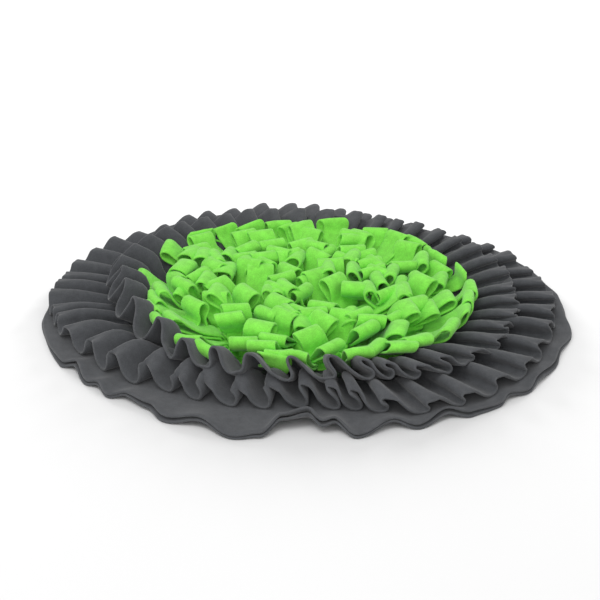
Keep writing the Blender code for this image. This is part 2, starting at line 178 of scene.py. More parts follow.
# The share of its height over its limit that a point is pressed down in each step.
PRESS = 0.25
FRILLS = {
    "outer_frill": {
        "seed": 4,
        # Where the front's folds stand on the cloth below, in degrees, and how many folds there are behind.
        "front_feet": (
            195, 206, 216, 226, 235, 243, 252, 260, 269,
            277, 282, 287, 295, 303, 312, 322, 331,
        ),
        "folds_behind": 30,
        # How wide they are, from the right round to the left, compared with each other.
        "widths_behind": (1.25, 0.85),
        # Round the mat: the seam's radius, the strip's width, the rise of the folds' feet at the edge, and
        # above them the height of the crests and of the edge, and how far the folds lean.
        "sectors": (
            # azimuth, seam, width, rise, crest, edge, lean
            (0, 0.181, 0.068, 0.000, 0.014, 0.009, 0.80),
            (18, 0.178, 0.067, 0.000, 0.012, 0.009, 0.80),
            (30, 0.173, 0.064, 0.000, 0.011, 0.009, 0.80),
            (40, 0.169, 0.062, 0.000, 0.011, 0.009, 0.80),
            (50, 0.166, 0.059, 0.000, 0.010, 0.009, 0.80),
            (70, 0.166, 0.057, 0.000, 0.009, 0.008, 0.90),
            (82, 0.168, 0.058, 0.000, 0.011, 0.011, 1.00),
            (94, 0.170, 0.061, 0.000, 0.017, 0.017, 1.00),
            (120, 0.172, 0.062, 0.000, 0.017, 0.017, 1.00),
            (138, 0.173, 0.064, 0.000, 0.014, 0.014, 0.90),
            (152, 0.180, 0.068, 0.000, 0.012, 0.011, 0.70),
            (165, 0.186, 0.070, 0.000, 0.011, 0.009, 0.50),
            (182, 0.187, 0.071, 0.000, 0.013, 0.010, 0.40),
            (195, 0.180, 0.067, 0.000, 0.017, 0.012, 0.35),
            (208, 0.174, 0.063, 0.000, 0.020, 0.014, 0.35),
            (220, 0.171, 0.062, 0.000, 0.022, 0.016, 0.45),
            (235, 0.163, 0.056, 0.000, 0.023, 0.014, 0.60),
            (248, 0.162, 0.056, 0.000, 0.022, 0.011, 0.65),
            (262, 0.161, 0.054, 0.000, 0.021, 0.012, 0.65),
            (272, 0.158, 0.050, 0.000, 0.022, 0.018, 0.65),
            (282, 0.163, 0.054, 0.000, 0.024, 0.020, 0.50),
            (288, 0.172, 0.061, 0.000, 0.020, 0.013, 0.60),
            (296, 0.181, 0.066, 0.000, 0.015, 0.010, 0.80),
            (310, 0.186, 0.067, 0.000, 0.016, 0.011, 0.80),
            (325, 0.187, 0.067, 0.000, 0.017, 0.012, 0.80),
            (345, 0.182, 0.066, 0.000, 0.018, 0.014, 0.80),
        ),
    },
    "inner_frill": {
        "seed": 9,
        "front_feet": (186, 198, 215, 230, 242, 251, 265, 276, 287, 292, 298, 307, 314, 325),
        "folds_behind": 26,
        "widths_behind": (1.0, 1.0),
        "sectors": (
            # azimuth, seam, width, rise, crest, edge, lean
            (0, 0.1505, 0.061, 0.013, 0.012, 0.007, 0.70),
            (30, 0.1505, 0.060, 0.013, 0.013, 0.009, 0.70),
            (55, 0.1505, 0.055, 0.011, 0.013, 0.011, 0.80),
            (95, 0.1505, 0.052, 0.012, 0.012, 0.011, 0.80),
            (120, 0.1505, 0.054, 0.014, 0.015, 0.014, 0.70),
            (145, 0.1505, 0.056, 0.015, 0.018, 0.017, 0.60),
            (170, 0.1505, 0.056, 0.017, 0.023, 0.022, 0.40),
            (188, 0.1505, 0.050, 0.017, 0.026, 0.026, 0.30),
            (200, 0.1505, 0.045, 0.017, 0.026, 0.027, 0.30),
            (220, 0.1505, 0.045, 0.018, 0.024, 0.024, 0.40),
            (233, 0.1505, 0.051, 0.020, 0.020, 0.019, 0.60),
            (250, 0.1505, 0.053, 0.021, 0.018, 0.017, 0.80),
            (280, 0.1505, 0.053, 0.021, 0.018, 0.017, 0.80),
            (292, 0.1505, 0.056, 0.019, 0.018, 0.015, 0.70),
            (305, 0.1505, 0.066, 0.015, 0.017, 0.013, 0.80),
            (325, 0.1505, 0.068, 0.013, 0.015, 0.010, 0.80),
            (340, 0.1505, 0.064, 0.013, 0.013, 0.007, 0.75),
        ),
    },
}
# How unlike its neighbours one fold may be.
FOLD_WIDTH_SPREAD = 0.22
FOLD_HEIGHT_SPREAD = 0.0020
FOLD_LEAN_SPREAD = 0.15
FOLD_REACH_SPREAD = 0.0025

# The pile of loops, on a round backing.
LOOPS = 140
BACKING_RADIUS = 0.1410
BACKING_SEGMENTS = 96
BACKING_RINGS = (0.0005, 0.05, 0.10)
PILE_RADIUS = 0.1370
STRIP_WIDTH = 0.0250
LOOP_LENGTH = 0.0940
LOOP_LENGTH_SPREAD = 0.0080
# At the pile's rim the loops are longer where it reaches farther than this, and shorter where less.
MIDDLE_REACH = 0.168
LENGTH_FOR_REACH = 1.6
# Before it settles, a loop stands on two legs, this far to each side of its middle at the top and at the
# foot. From the foot it flares up to this height.
LOOP_TOP_RADIUS = 0.0030
LOOP_HALF_FOOT = 0.0018
LOOP_FLARE = 0.010
# How far the loops at the pile's rim lean outwards at first, for their height, and how much more behind.
OUTWARD_LEAN = 0.42
MORE_LEAN_BEHIND = 0.45
LOOP_COLUMNS = 29
LOOP_ROWS = 7
SEWN_COLUMNS = 2
LOOP_STEPS = 240
# While the loops settle, each falls over a flat side of its own, outwards at the pile's rim.
LOOP_FALL = 0.036
OUTWARD_PULL = 0.5
ASKEW = 0.5
# The shortest of these falls, as a share of the longest, and the share of the steps by which the last has
# begun, which is also how long each takes.
LEAST_FALL = 0.4
FALL_TIME = 0.4
# How far the cloth sinks in each step, and the share of the steps after which it does.
GRAVITY = 0.00005
SINKS_FROM = 0.15
# The middle of a strip stays at least this far above the middle of the backing.
LEAST_RISE = 0.0006
# How high the pile may stand, how far that comes down while it settles, and how much farther behind.
PILE_TOP = 0.062
PILE_TOP_FALL = 0.022
BACK_TOP_FALL = 0.004
# How softly a loop is held within its reach, and how unlike its neighbours' reach and height its own may be.
REACH_PRESS = 0.06
REACH_SPREAD = 0.006
TOP_SPREAD = 0.003
# No loop comes near what lies farther out than this.
PILE_NEIGHBOURHOOD = 0.215
# How far out the pile comes to rest, round the mat.
PILE_REACH = (
    # azimuth, reach
    (0, 0.162),
    (25, 0.158),
    (50, 0.160),
    (70, 0.168),
    (95, 0.158),
    (115, 0.162),
    (135, 0.167),
    (155, 0.180),
    (172, 0.174),
    (185, 0.168),
    (210, 0.164),
    (230, 0.170),
    (250, 0.173),
    (275, 0.173),
    (290, 0.178),
    (310, 0.189),
    (330, 0.177),
    (345, 0.170),
)
# A loop keeps its place among the others as three discs along its width. In each step of the packing it moves
# and turns by these shares of what its neighbours push.
DISC_STEP = 0.0083
DISC_RADIUS = 0.0066
PACKING_STEPS = 600
# How strictly the loops at the pile's rim stand along it, from 0 to 1.
RIM_ORDER = 0.75
MOVE_SHARE = 0.25
TURN_SHARE = 0.15
PACKING_SEED = 12
LOOP_SEED = 3

# The photograph's framing. The mat's middle lies at this pixel of 600, and the picture is this wide there.
CAMERA_ELEVATION = math.radians(26)
CAMERA_DISTANCE = 1.7
PICTURE_PIXELS = 600
MIDDLE_PIXEL = (305.6, 311.0)
PICTURE_WIDTH = 0.606
SENSOR = 36.0

# Colours, as the shaders take them.
FLOOR_WHITE = (0.72, 0.72, 0.72, 1.0)
CHARCOAL = (0.0610, 0.0640, 0.0690, 1.0)
# The cut edges' colour is a little paler than the cloth's: a painted highlight where light catches the
# rounded edges.
CHARCOAL_EDGE_HIGHLIGHT = (0.0690, 0.0720, 0.0770, 1.0)
LIME = (0.208, 0.672, 0.074, 1.0)
# The lime's cut edges are paler too, the same painted highlight.
LIME_EDGE_HIGHLIGHT = (0.218, 0.686, 0.080, 1.0)
# The nap of the fleece, in curls to the metre, and the slower change of its tone, which runs from the darkest
# to the palest share of the colour.
NAP_SCALE = 900.0
NAP_DEPTH = 0.0006
TONE_SCALE = 140.0
DARKEST = 0.82
PALEST = 1.16

# The floor reaches this far from the mat to each side.
FLOOR_REACH = 6.0
# Even light from all sides.
WORLD_STRENGTH = 0.82
# The lights: what each falls on, where it stands, its diameter and its power.
LIGHTS = (
    # name, falls on, place, size, power
    ("softbox", "all", (-1.00, -0.70, 3.00), 2.0, 30.0),
    ("front_fill", "all_but_floor", (-0.30, -2.30, 1.00), 1.6, 17.0),
    ("low_light_left", "floor_only", (-1.50, 2.60, 0.75), 1.2, 85.0),
    ("low_light_right", "floor_only", (1.50, 2.60, 0.75), 1.2, 85.0),
)


# Grids of cloth, and how they settle.


def grid_pairs(number, columns, rows, closed):
    """All pairs of points so many columns and rows apart. number[strip, column, row] numbers them."""
    first = number
    second = np.roll(number, -columns, axis=1)
    if columns and not closed:
        first, second = first[:, :-columns], second[:, :-columns]
    if rows > 0:
        first, second = first[:, :, :-rows], second[:, :, rows:]
    if rows < 0:
        first, second = first[:, :, -rows:], second[:, :, :rows]
    return first.ravel(), second.ravel()


def chord(arc, radius):
    return 2 * radius * np.sin(np.minimum(arc / (2 * radius), math.pi / 2))


def cloth_springs(points, closed, bend_radius):
    """(first, second, rest, weight, push_only) that keep points[strip, column, row] of cloth in shape."""
    number = np.arange(points[..., 0].size).reshape(points.shape[:3])
    flat = points.reshape(-1, 3)
    found = []
    for columns, rows, weight in SPRINGS:
        first, second = grid_pairs(number, columns, rows, closed)
        rest = np.linalg.norm(flat[first] - flat[second], axis=1)
        found.append((first, second, rest, np.full(len(first), weight), np.full(len(first), False)))
    first, second = grid_pairs(number, 1, 0, closed)
    step = np.linalg.norm(flat[first] - flat[second], axis=1).mean()
    for columns, weight in PROPS:
        first, second = grid_pairs(number, columns, 0, closed)
        rest = np.full(len(first), chord(columns * step, bend_radius))
        found.append((first, second, rest, np.full(len(first), weight), np.full(len(first), True)))
    return [np.concatenate(column) for column in zip(*found)]


def near_pairs(points, reach, related):
    """Pairs of points nearer than reach, apart from those that related(first, second) says are neighbours."""
    cell = np.floor(points / reach).astype(np.int64)
    cell -= cell.min(axis=0) - 1
    size = cell.max(axis=0) + 2
    key = (cell[:, 0] * size[1] + cell[:, 1]) * size[2] + cell[:, 2]
    order = np.argsort(key, kind="stable")
    sorted_key = key[order]
    everyone = np.arange(len(points))
    sides = [(x, y, z) for x in (-1, 0, 1) for y in (-1, 0, 1) for z in (-1, 0, 1)]
    found = []
    for x, y, z in sides[len(sides) // 2 :]:
        wanted = key + (x * size[1] + y) * size[2] + z
        start = np.searchsorted(sorted_key, wanted, side="left")
        end = np.searchsorted(sorted_key, wanted, side="right")
        for step in range(int((end - start).max())):
            here = start + step < end
            first = everyone[here]
            second = order[(start + step)[here]]
            keep = ((points[first] - points[second]) ** 2).sum(axis=1) < reach**2
            if (x, y, z) == (0, 0, 0):
                keep &= first < second
            first, second = first[keep], second[keep]
            keep = ~related(first, second)
            found.append((first[keep], second[keep]))
    return [np.concatenate(column) for column in zip(*found)]


def straighten(cloth, closed, sewn):
    """Moves the points a little towards straighter lines along and across the strips, as stiffness does."""
    for axis in (1, 2):
        p = np.moveaxis(cloth, axis, 0)
        loose = np.moveaxis(~sewn, axis, 0)[..., None]
        if axis == 1 and closed:
            bend = np.roll(p, 1, 0) + np.roll(p, -1, 0) - 2 * p
            push = np.roll(bend, 1, 0) + np.roll(bend, -1, 0) - 2 * bend
        else:
            bend = np.zeros_like(p)
            bend[1:-1] = p[2:] + p[:-2] - 2 * p[1:-1]
            push = -2 * bend
            push[1:] += bend[:-1]
            push[:-1] += bend[1:]
        p -= STIFFNESS * push * loose


def settle(cloth, fixed, sewn, closed, bend_radius, steps, confine):
    """Lets grids of cloth come to rest. cloth[strip, column, row] are its points, and fixed are points of
    other cloths that it can't enter. sewn is true where a point of the cloth is held.
    confine(points, progress) moves and limits the points in place in each step.
    """
    strips, columns, rows = cloth.shape[:3]
    grid = np.indices((strips, columns, rows)).reshape(3, -1)
    own = grid.shape[1]
    strip = np.concatenate([grid[0], np.full(len(fixed), -1)])
    column = np.concatenate([grid[1], np.full(len(fixed), -1)])
    row = np.concatenate([grid[2], np.full(len(fixed), -1)])
    free = np.concatenate([~sewn.ravel(), np.zeros(len(fixed), bool)]).astype(float)
    points = np.concatenate([cloth.reshape(-1, 3), fixed])
    springs = cloth_springs(cloth, closed, bend_radius)

    def related(first, second):
        gap = np.abs(column[first] - column[second])
        if closed:
            gap = np.minimum(gap, columns - gap)
        near = (gap <= OWN_NEIGHBOURS) & (np.abs(row[first] - row[second]) <= OWN_NEIGHBOURS)
        return (near & (strip[first] == strip[second])) | (free[first] + free[second] == 0)

    for step in range(steps):
        if step % STEPS_PER_LOOKUP == 0:
            touching = near_pairs(points, LOOKUP_REACH * CONTACT, related)
            count = len(touching[0])
            first = np.concatenate([springs[0], touching[0]])
            second = np.concatenate([springs[1], touching[1]])
            rest = np.concatenate([springs[2], np.full(count, CONTACT)])
            weight = np.concatenate([springs[3], np.ones(count)])
            push_only = np.concatenate([springs[4], np.full(count, True)])
            moving = np.maximum(free[first] + free[second], 1)
            first_share = free[first] / moving
            second_share = free[second] / moving
        apart = points[first] - points[second]
        length = np.sqrt((apart**2).sum(axis=1)) + 1e-12
        error = rest - length
        error[push_only & (error < 0)] = 0
        acting = weight * (error != 0)
        push = apart * (error * weight / length)[:, None]
        total = np.bincount(first, acting, len(points)) + np.bincount(second, acting, len(points))
        total = np.maximum(total, 1)
        for axis in range(3):
            moved = np.bincount(first, push[:, axis] * first_share, len(points))
            moved -= np.bincount(second, push[:, axis] * second_share, len(points))
            points[:, axis] += OVERSHOOT * moved / total
        moving_cloth = points[:own].reshape(cloth.shape)
        straighten(moving_cloth, closed, sewn)
        confine(moving_cloth, step / steps)
    return points[:own].reshape(cloth.shape)


def twice_as_fine(points, axis, closed):
    """The points with one more between each two along an axis, on a smooth curve through them."""
    p = np.moveaxis(points, axis, 0)
    if closed:
        before, after, second = np.roll(p, 1, 0), np.roll(p, -1, 0), np.roll(p, -2, 0)
        middle = (9 * (p + after) - before - second) / 16
        fine = np.stack([p, middle], axis=1).reshape((-1,) + p.shape[1:])
    else:
        padded = np.concatenate([2 * p[:1] - p[1:2], p, 2 * p[-1:] - p[-2:-1]])
        middle = (9 * (padded[1:-2] + padded[2:-1]) - padded[:-3] - padded[3:]) / 16
        fine = np.concatenate([np.stack([p[:-1], middle], axis=1).reshape((-1,) + p.shape[1:]), p[-1:]])
    return np.moveaxis(fine, 0, axis)


# Meshes.


def end_caps(number, rows, edge_steps):
    """The quads that close both ends of strips. number[strip, column, place round it] numbers vertices."""
    ring = number.shape[2]
    corners = []
    for row in range(rows - 1):
        opposite = 2 * rows + edge_steps - 1 - row
        corners.append((row, row + 1, opposite - 1, opposite))
    for first in (rows - 1, 2 * rows + edge_steps - 1):
        corners.append(tuple((first + step) % ring for step in range(4)))
    corners = np.array(corners)
    start = number[:, 0][:, corners]
    end = number[:, -1][:, corners[:, ::-1]]
    return np.concatenate([start.reshape(-1, 4), end.reshape(-1, 4)])


def cloth_shell(points, closed, edge_steps=2):
    """(vertices, quads, cut) of the cloth round grids of points. cut is true on its round cut edges, which
    take a paler colour as a painted highlight.
    """
    strips, columns, rows = points.shape[:3]
    if closed:
        ahead = np.roll(points, -1, axis=1) - np.roll(points, 1, axis=1)
    else:
        ahead = np.gradient(points, axis=1)
    across = np.gradient(points, axis=2)
    normal = np.cross(ahead, across)
    normal /= np.linalg.norm(normal, axis=-1, keepdims=True) + 1e-12
    across /= np.linalg.norm(across, axis=-1, keepdims=True) + 1e-12
    half = CLOTH / 2
    turns = np.linspace(0, math.pi, edge_steps + 2)[1:-1]
    top = [points[:, :, row] + half * normal[:, :, row] for row in range(rows)]
    bottom = [points[:, :, row] - half * normal[:, :, row] for row in reversed(range(rows))]
    outer = [
        points[:, :, -1] + half * (math.cos(turn) * normal[:, :, -1] + math.sin(turn) * across[:, :, -1])
        for turn in turns
    ]
    inner = [
        points[:, :, 0] - half * (math.cos(turn) * normal[:, :, 0] + math.sin(turn) * across[:, :, 0])
        for turn in turns
    ]
    vertices = np.stack(top + outer + bottom + inner, axis=2)
    ring = vertices.shape[2]
    number = np.arange(strips * columns * ring).reshape(strips, columns, ring)
    beside = np.roll(number, -1, axis=2)
    following = np.roll(number, -1, axis=1)
    beside_following = np.roll(beside, -1, axis=1)
    quads = np.stack([number, following, beside_following, beside], axis=-1)
    if not closed:
        quads = quads[:, :-1]
    cut_ring = np.zeros(ring, bool)
    cut_ring[rows - 1 : rows + edge_steps] = True
    cut_ring[2 * rows + edge_steps - 1 :] = True
    cut = np.broadcast_to(cut_ring, quads.shape[:3]).ravel()
    quads = quads.reshape(-1, 4)
    if not closed:
        caps = end_caps(number, rows, edge_steps)
        quads = np.concatenate([quads, caps])
        cut = np.concatenate([cut, np.full(len(caps), True)])
    return vertices.reshape(-1, 3), quads, cut


def mesh_piece(name, vertices, quads, cut, cloth_material, edge_highlight_material):
    """An object from quads that all have four corners of their own."""
    mesh = bpy.data.meshes.new(name)
    mesh.vertices.add(len(vertices))
    mesh.vertices.foreach_set("co", vertices.astype(np.float32).ravel())
    mesh.loops.add(quads.size)
    mesh.loops.foreach_set("vertex_index", quads.astype(np.int32).ravel())
    mesh.polygons.add(len(quads))
    mesh.polygons.foreach_set("loop_start", np.arange(len(quads), dtype=np.int32) * 4)
    mesh.update(calc_edges=True)
    mesh.validate()
    mesh.materials.append(cloth_material)
    mesh.materials.append(edge_highlight_material)
    # Faces on the cut edges take the second material, whose paler colour is a painted highlight.
    mesh.polygons.foreach_set("material_index", cut.astype(np.int32))
    mesh.shade_smooth()
    piece = bpy.data.objects.new(name, mesh)
    bpy.context.scene.collection.objects.link(piece)
    return piece


def dress(piece, node):
    """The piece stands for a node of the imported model."""
    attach(piece, "root")
    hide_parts(node)
    return piece


# Materials.


def fleece(name, colour):
    """Brushed fleece: a soft nap of tiny curls, a little uneven in tone."""
    material = bpy.data.materials.new(name)
    material.use_nodes = True
    nodes, links = material.node_tree.nodes, material.node_tree.links
    shader = nodes["Principled BSDF"]
    shader.inputs["Roughness"].default_value = 0.95
    shader.inputs["Specular IOR Level"].default_value = 0.15
    shader.inputs["Sheen Weight"].default_value = 0.20
    shader.inputs["Sheen Roughness"].default_value = 0.5
    where = nodes.new("ShaderNodeTexCoord")

    tone = nodes.new("ShaderNodeTexNoise")
    tone.inputs["Scale"].default_value = TONE_SCALE
    tone.inputs["Detail"].default_value = 4.0
    links.new(where.outputs["Object"], tone.inputs["Vector"])
    nap = nodes.new("ShaderNodeTexNoise")
    nap.inputs["Scale"].default_value = NAP_SCALE
    nap.inputs["Detail"].default_value = 3.0
    links.new(where.outputs["Object"], nap.inputs["Vector"])

    both = nodes.new("ShaderNodeMath")
    both.operation = "ADD"
    links.new(tone.outputs["Fac"], both.inputs[0])
    links.new(nap.outputs["Fac"], both.inputs[1])
    ramp = nodes.new("ShaderNodeMapRange")
    ramp.inputs["From Min"].default_value = 0.7
    ramp.inputs["From Max"].default_value = 1.3
    ramp.inputs["To Min"].default_value = DARKEST
    ramp.inputs["To Max"].default_value = PALEST
    links.new(both.outputs["Value"], ramp.inputs["Value"])
    paint = nodes.new("ShaderNodeMix")
    paint.data_type = "RGBA"
    paint.blend_type = "MULTIPLY"
    paint.inputs["Factor"].default_value = 1.0
    paint.inputs[6].default_value = colour
    links.new(ramp.outputs["Result"], paint.inputs[7])
    links.new(paint.outputs[2], shader.inputs["Base Color"])

    bump = nodes.new("ShaderNodeBump")
    bump.inputs["Strength"].default_value = 0.35
    bump.inputs["Distance"].default_value = NAP_DEPTH
    links.new(nap.outputs["Fac"], bump.inputs["Height"])
    links.new(bump.outputs["Normal"], shader.inputs["Normal"])
    return material


# The round cloths.


def rim_turns():
    """Rows of (azimuth, reach, lift) all the way round, in degrees and metres, in order of azimuth."""
    rng = np.random.default_rng(RIM_SEED)
    front = np.array(FRONT_RIM)
    gap = 360 - (front[-1, 0] - front[0, 0])
    index = np.arange(1, RIM_TURNS_BEHIND + 1)
    index_askew = index + rng.uniform(-TURN_ASKEW, TURN_ASKEW, len(index))
    azimuth = front[-1, 0] + index_askew * gap / (RIM_TURNS_BEHIND + 1)
    size = rng.uniform(LEAST_TURN, 1.0, len(index))
    arch = index % 2 == 1
    reach = np.interp(azimuth % 360, *np.array(BACK_REACH).T) + np.where(arch, -RIM_REACH, RIM_REACH) * size
    lift = np.where(arch, RIM_LIFT, 0) * size
    rows = np.concatenate([front, np.stack([azimuth, reach, lift], axis=1)])
    rows[:, 0] %= 360
    return rows[np.argsort(rows[:, 0])]


def rim_shape(azimuth):
    """(reach past the plain rim, lift of the rim) of the lower cloth, at azimuths in radians."""
    rows = rim_turns()
    rows = np.concatenate([rows[-1:] - [360, 0, 0], rows, rows[:1] + [360, 0, 0]])
    degrees = np.degrees(azimuth) % 360
    before = np.searchsorted(rows[:, 0], degrees, side="right") - 1
    share = (degrees - rows[before, 0]) / (rows[before + 1, 0] - rows[before, 0])
    ease = (1 - np.cos(math.pi * share)) / 2
    reach, lift = ((1 - ease) * rows[before, i] + ease * rows[before + 1, i] for i in (1, 2))
    return reach, lift


def rim_height(radius, azimuth):
    """How far the upper cloth is lifted there."""
    reach, lift = rim_shape(azimuth)
    parting = np.cos(PARTING_WAVES * azimuth)
    lift = lift + RIM_PARTING * (1 + parting) / 2
    rim = RIM_RADIUS["top_cloth"] + reach - RIM_PARTING * parting / 2
    share = np.clip((radius - FLAT_RADIUS) / (rim - FLAT_RADIUS), 0, 1)
    return lift * share**RIM_LIFT_POWER


def round_cloth(name, cloth_material, edge_highlight_material):
    azimuth = np.arange(RIM_SEGMENTS) * 2 * math.pi / RIM_SEGMENTS
    reach, lift = rim_shape(azimuth)
    height = CLOTH / 2
    if name == "top_cloth":
        parting = np.cos(PARTING_WAVES * azimuth)
        height += LAYER
        lift = lift + RIM_PARTING * (1 + parting) / 2
        reach = reach - RIM_PARTING * parting / 2
    shares = np.linspace(0, 1, RIM_RINGS)
    flat = np.broadcast_to(FLAT_RINGS, (RIM_SEGMENTS, len(FLAT_RINGS)))
    # The edge is rounded outside the last ring, so that ring lies half a cloth inside the rim.
    waving = FLAT_RADIUS + np.outer(RIM_RADIUS[name] + reach - CLOTH / 2 - FLAT_RADIUS, shares)
    radius = np.concatenate([flat, waving], axis=1)
    rise = np.concatenate([np.zeros_like(flat), np.outer(lift, shares**RIM_LIFT_POWER)], axis=1)
    points = np.stack(
        [radius * np.cos(azimuth)[:, None], radius * np.sin(azimuth)[:, None], height + rise], axis=-1
    )
    shell = cloth_shell(points[None], closed=True)
    piece = mesh_piece(name + "_fleece", *shell, cloth_material, edge_highlight_material)
    dress(piece, name)
    return piece


# The frills.


def meander(phase, swing):
    """Where a folded edge has got to at a phase of 0 to 1 round one fold, as shares of the cloth in it."""
    steps = np.linspace(0, 1, MEANDER_STEPS) * phase[..., None]
    turn = 2 * math.pi * steps
    angle = swing[..., None] * np.sin(turn - FOOT_WIDENING * np.sin(turn))
    ahead = np.trapz(np.cos(angle), steps, axis=-1)
    up = np.trapz(np.sin(angle), steps, axis=-1)
    return ahead, up


def swing_for(steepness):
    """How far a fold's direction must swing for its height to be this much of its pitch."""
    swings = np.linspace(math.radians(5), MOST_SWING, 60)
    _, top = meander(np.full_like(swings, 0.5), swings)
    whole, _ = meander(np.ones_like(swings), swings)
    return np.interp(steepness, top / whole, swings)


def fold_feet(frill, rng):
    """(where each fold starts, how wide it is) in radians."""
    front = np.radians(frill["front_feet"])
    behind = np.linspace(*frill["widths_behind"], frill["folds_behind"])
    behind += rng.uniform(-FOLD_WIDTH_SPREAD, FOLD_WIDTH_SPREAD, len(behind))
    behind *= (2 * math.pi - front[-1] + front[0]) / behind.sum()
    feet = np.concatenate([front, front[-1] + np.cumsum(behind)])
    return feet[:-1], np.diff(feet)


def frill_points(frill, phases, rows):
    """(points[column, row] of a frill's middle surface from its seam out to its free edge,
    heights[column, row] that it settles under).
    """
    rng = np.random.default_rng(frill["seed"])
    starts, widths = fold_feet(frill, rng)
    folds = len(starts)
    fold = np.repeat(np.arange(folds), len(phases))
    phase = np.tile(np.array(phases), folds)
    pitch = widths[fold]

    sectors = np.array(frill["sectors"])

    def sector_values(azimuth):
        degrees = np.degrees(azimuth) % 360
        return [np.interp(degrees, sectors[:, 0], sectors[:, i], period=360) for i in range(1, 7)]

    seam, width, rise, _, _, _ = sector_values(starts[fold] + pitch * phase)
    _, _, _, crest, edge, lean = sector_values(starts + widths / 2)
    higher = rng.uniform(-FOLD_HEIGHT_SPREAD, FOLD_HEIGHT_SPREAD, folds)
    crest = (crest + higher)[fold]
    edge = (edge + higher)[fold]
    lean = (lean + rng.uniform(-FOLD_LEAN_SPREAD, FOLD_LEAN_SPREAD, folds))[fold]
    farther = rng.uniform(-FOLD_REACH_SPREAD, FOLD_REACH_SPREAD, folds)
    width = width + np.interp(fold + phase, np.arange(folds) + 0.5, farther, period=folds)

    points = np.zeros((len(phase), rows, 3))
    heights = np.zeros((len(phase), rows))
    radius = seam.copy()
    for row in range(rows):
        share = row / (rows - 1)
        level_radius = seam + REACH_SHARE * width * share
        grown = crest * math.sin(math.pi / 2 * min(share / CREST_SHARE, 1))
        swing = np.maximum(swing_for(grown / (level_radius * pitch)), SEAM_SWING)
        ahead, up = meander(phase, swing)
        whole, _ = meander(np.ones_like(phase), swing)
        cloth_in_fold = level_radius * pitch / whole
        height = cloth_in_fold * up
        turn = starts[fold] + cloth_in_fold * ahead / level_radius
        turn = turn - lean * height / level_radius
        feet = rise * share**EDGE_RISE_POWER
        level = feet + height
        if row:
            cloth = width / (rows - 1)
            climb = level - last_level
            slide = (turn - last_turn) * level_radius
            run_out = np.sqrt(np.maximum(cloth**2 - climb**2 - slide**2, (LEAST_RUN * cloth) ** 2))
            radius = radius + run_out
        last_level, last_turn = level, turn
        lifted = SEWN_HEIGHT + rim_height(radius, turn)
        points[:, row] = np.stack([radius * np.cos(turn), radius * np.sin(turn), lifted + level], axis=-1)
        droop = max(share / CREST_SHARE - 1, 0) / (1 / CREST_SHARE - 1)
        heights[:, row] = lifted + feet + crest + (edge - crest) * droop
    return points, heights


def settled_frill(name, below):
    """The frill's points[0, column, row] after it has settled on what lies below it."""
    phases = (np.arange(COLUMNS_PER_FOLD) + 0.5) / COLUMNS_PER_FOLD
    points, heights = frill_points(FRILLS[name], phases, FRILL_ROWS)
    points, heights = points[None], heights[None]
    sewn = np.zeros(points.shape[:3], bool)
    sewn[:, :, 0] = True
    start = points[..., 2].max(axis=1, keepdims=True)

    def confine(cloth, progress):
        x, y, z = (cloth[..., axis] for axis in range(3))
        floor = SEWN_HEIGHT + rim_height(np.hypot(x, y), np.arctan2(y, x))
        pressed = start + (heights - start) * min(progress / PRESSED_AT, 1)
        cloth[..., 2] = np.maximum(z - PRESS * np.maximum(z - pressed, 0), floor)

    return settle(points, below, sewn, True, FRILL_BEND_RADIUS, FRILL_STEPS, confine)


def frill_piece(name, points, cloth_material, edge_highlight_material):
    fine = twice_as_fine(points[:, :, ::2], axis=1, closed=True)
    piece = mesh_piece(name + "_fleece", *cloth_shell(fine, closed=True), cloth_material, edge_highlight_material)
    dress(piece, name)
    return piece


# The pile.


def pack_loops():
    """Where each loop is rooted and which way its strip lies: (x, y) and an angle, spread until none touch.

    They start on a sunflower spiral, at random angles, and push each other apart.
    """
    rng = np.random.default_rng(PACKING_SEED)
    index = np.arange(LOOPS)
    radius = PILE_RADIUS * np.sqrt((index + 0.5) / LOOPS)
    turn = index * math.pi * (3 - math.sqrt(5))
    centre = np.stack([radius * np.cos(turn), radius * np.sin(turn)], axis=1)
    askew = rng.uniform(-math.pi / 2, math.pi / 2, LOOPS)
    angle = turn + math.pi / 2 + askew * (1 - RIM_ORDER * (radius / PILE_RADIUS) ** 2)
    along = DISC_STEP * np.array([-1.0, 0.0, 1.0])
    owner = np.repeat(index, 3)
    other_loop = owner[:, None] != owner[None, :]
    for _ in range(PACKING_STEPS):
        axis = np.stack([np.cos(angle), np.sin(angle)], axis=1)
        arm = (along[None, :, None] * axis[:, None, :]).reshape(-1, 2)
        disc = centre[owner] + arm
        apart = disc[:, None] - disc[None, :]
        distance = np.linalg.norm(apart, axis=2) + 1e-9
        overlap = np.where(other_loop, np.maximum(2 * DISC_RADIUS - distance, 0), 0)
        push = (apart / distance[..., None] * overlap[..., None]).sum(axis=1)
        reach = np.linalg.norm(disc, axis=1)
        outside = np.maximum(reach - PILE_RADIUS, 0)
        push -= disc / reach[:, None] * outside[:, None]
        spin = arm[:, 0] * push[:, 1] - arm[:, 1] * push[:, 0]
        centre += MOVE_SHARE * np.add.reduceat(push, np.arange(0, 3 * LOOPS, 3))
        angle += TURN_SHARE * np.add.reduceat(spin, np.arange(0, 3 * LOOPS, 3)) / DISC_STEP**2
    return centre, angle


def loop_outline(length):
    """(out, up) along a strip that goes up from one foot, turns over and comes down to the other."""
    leg = (length - math.pi * LOOP_TOP_RADIUS) / 2
    gone = np.linspace(0, length, LOOP_COLUMNS)
    turn = np.clip((gone - leg) / LOOP_TOP_RADIUS, 0, math.pi)
    up = np.minimum(gone, length - gone)
    up = np.where((turn > 0) & (turn < math.pi), leg + LOOP_TOP_RADIUS * np.sin(turn), up)
    flare = np.clip(up / LOOP_FLARE, 0, 1)
    out = -np.cos(turn) * (LOOP_HALF_FOOT + (LOOP_TOP_RADIUS - LOOP_HALF_FOOT) * flare)
    return out, up


